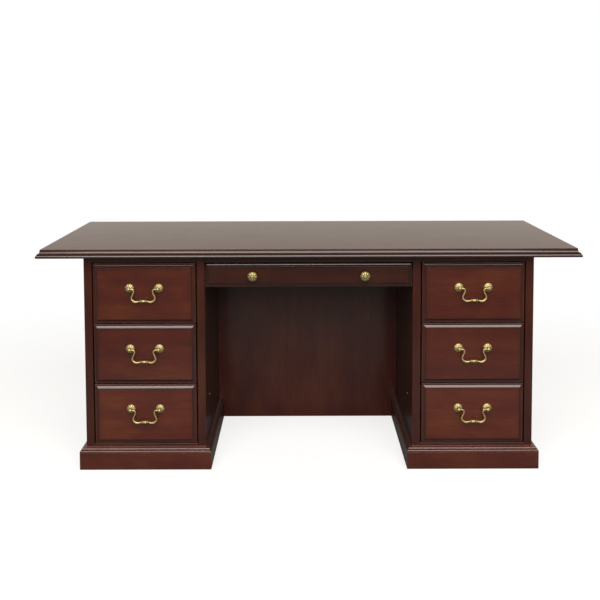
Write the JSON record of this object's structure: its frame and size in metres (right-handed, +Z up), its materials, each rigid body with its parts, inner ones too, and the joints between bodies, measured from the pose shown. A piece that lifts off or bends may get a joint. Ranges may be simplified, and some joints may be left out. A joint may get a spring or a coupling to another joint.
{
  "type": "kneehole credenza",
  "caption": "Traditional double-pedestal kneehole desk with a moulded top, raised-field drawers, brass bail pulls, a shallow centre drawer and a set-back modesty panel.",
  "frame": {"origin": "on the floor under the middle of the top", "axes": "+X to the right as seen from the front, +Y from the front to the back, +Z up; the drawers face -Y"},
  "size_m": [1.829, 0.61, 0.762],
  "materials": {
    "mahogany": "dark red-brown satin lacquer over mahogany veneer, dark glaze in the quirks",
    "drawer_wood": "pale clear-sealed hardwood",
    "antique_brass": "antique brass with a dark patina in the recesses",
    "cover_cap": "brown moulded cover cap"
  },
  "bodies": {
    "carcass": {"desk_top": "mahogany", "left_face_frame": "mahogany", "left_outer_side": "mahogany", "left_inner_side": "mahogany", "left_back": "mahogany", "left_bottom": "drawer_wood", "left_lower_runner_frame": "drawer_wood", "left_upper_runner_frame": "drawer_wood", "left_plinth": "mahogany", "left_plinth_cap": "mahogany", "right_face_frame": "mahogany", "right_outer_side": "mahogany", "right_inner_side": "mahogany", "right_back": "mahogany", "right_bottom": "drawer_wood", "right_lower_runner_frame": "drawer_wood", "right_upper_runner_frame": "drawer_wood", "right_plinth": "mahogany", "right_plinth_cap": "mahogany", "kneehole_rail": "mahogany", "modesty_panel": "mahogany", "centre_left_runner": "drawer_wood", "centre_right_runner": "drawer_wood", "kneehole_left_cover_cap": "cover_cap", "kneehole_right_cover_cap": "cover_cap"},
    "left_upper_drawer": {"left_upper_drawer_front": "mahogany", "left_upper_drawer_box": "drawer_wood", "left_upper_drawer_left_post": "antique_brass", "left_upper_drawer_right_post": "antique_brass"},
    "left_upper_bail": {"left_upper_drawer_bail": "antique_brass"},
    "left_middle_drawer": {"left_middle_drawer_front": "mahogany", "left_middle_drawer_box": "drawer_wood", "left_middle_drawer_left_post": "antique_brass", "left_middle_drawer_right_post": "antique_brass"},
    "left_middle_bail": {"left_middle_drawer_bail": "antique_brass"},
    "left_lower_drawer": {"left_lower_drawer_front": "mahogany", "left_lower_drawer_box": "drawer_wood", "left_lower_drawer_left_post": "antique_brass", "left_lower_drawer_right_post": "antique_brass"},
    "left_lower_bail": {"left_lower_drawer_bail": "antique_brass"},
    "right_upper_drawer": {"right_upper_drawer_front": "mahogany", "right_upper_drawer_box": "drawer_wood", "right_upper_drawer_left_post": "antique_brass", "right_upper_drawer_right_post": "antique_brass"},
    "right_upper_bail": {"right_upper_drawer_bail": "antique_brass"},
    "right_middle_drawer": {"right_middle_drawer_front": "mahogany", "right_middle_drawer_box": "drawer_wood", "right_middle_drawer_left_post": "antique_brass", "right_middle_drawer_right_post": "antique_brass"},
    "right_middle_bail": {"right_middle_drawer_bail": "antique_brass"},
    "right_lower_drawer": {"right_lower_drawer_front": "mahogany", "right_lower_drawer_box": "drawer_wood", "right_lower_drawer_left_post": "antique_brass", "right_lower_drawer_right_post": "antique_brass"},
    "right_lower_bail": {"right_lower_drawer_bail": "antique_brass"},
    "centre_drawer": {"centre_drawer_front": "mahogany", "centre_drawer_box": "drawer_wood", "centre_drawer_left_knob": "antique_brass", "centre_drawer_right_knob": "antique_brass"}
  },
  "joints": [
    {"name": "left_upper_drawer_slide", "type": "slide", "parent": "carcass", "child": "left_upper_drawer", "axis": [0, -1, 0], "range_m": [0, 0.36]},
    {"name": "left_upper_bail_swing", "type": "hinge", "parent": "left_upper_drawer", "child": "left_upper_bail", "pos_m": [-0.559, -0.28581, 0.62455], "axis": [-1, 0, 0], "range_deg": [-12, 95]},
    {"name": "left_middle_drawer_slide", "type": "slide", "parent": "carcass", "child": "left_middle_drawer", "axis": [0, -1, 0], "range_m": [0, 0.36]},
    {"name": "left_middle_bail_swing", "type": "hinge", "parent": "left_middle_drawer", "child": "left_middle_bail", "pos_m": [-0.559, -0.28581, 0.41605], "axis": [-1, 0, 0], "range_deg": [-12, 95]},
    {"name": "left_lower_drawer_slide", "type": "slide", "parent": "carcass", "child": "left_lower_drawer", "axis": [0, -1, 0], "range_m": [0, 0.36]},
    {"name": "left_lower_bail_swing", "type": "hinge", "parent": "left_lower_drawer", "child": "left_lower_bail", "pos_m": [-0.559, -0.28581, 0.20755], "axis": [-1, 0, 0], "range_deg": [-12, 95]},
    {"name": "right_upper_drawer_slide", "type": "slide", "parent": "carcass", "child": "right_upper_drawer", "axis": [0, -1, 0], "range_m": [0, 0.36]},
    {"name": "right_upper_bail_swing", "type": "hinge", "parent": "right_upper_drawer", "child": "right_upper_bail", "pos_m": [0.559, -0.28581, 0.62455], "axis": [-1, 0, 0], "range_deg": [-12, 95]},
    {"name": "right_middle_drawer_slide", "type": "slide", "parent": "carcass", "child": "right_middle_drawer", "axis": [0, -1, 0], "range_m": [0, 0.36]},
    {"name": "right_middle_bail_swing", "type": "hinge", "parent": "right_middle_drawer", "child": "right_middle_bail", "pos_m": [0.559, -0.28581, 0.41605], "axis": [-1, 0, 0], "range_deg": [-12, 95]},
    {"name": "right_lower_drawer_slide", "type": "slide", "parent": "carcass", "child": "right_lower_drawer", "axis": [0, -1, 0], "range_m": [0, 0.36]},
    {"name": "right_lower_bail_swing", "type": "hinge", "parent": "right_lower_drawer", "child": "right_lower_bail", "pos_m": [0.559, -0.28581, 0.20755], "axis": [-1, 0, 0], "range_deg": [-12, 95]},
    {"name": "centre_drawer_slide", "type": "slide", "parent": "carcass", "child": "centre_drawer", "axis": [0, -1, 0], "range_m": [0, 0.25]}
  ]
}
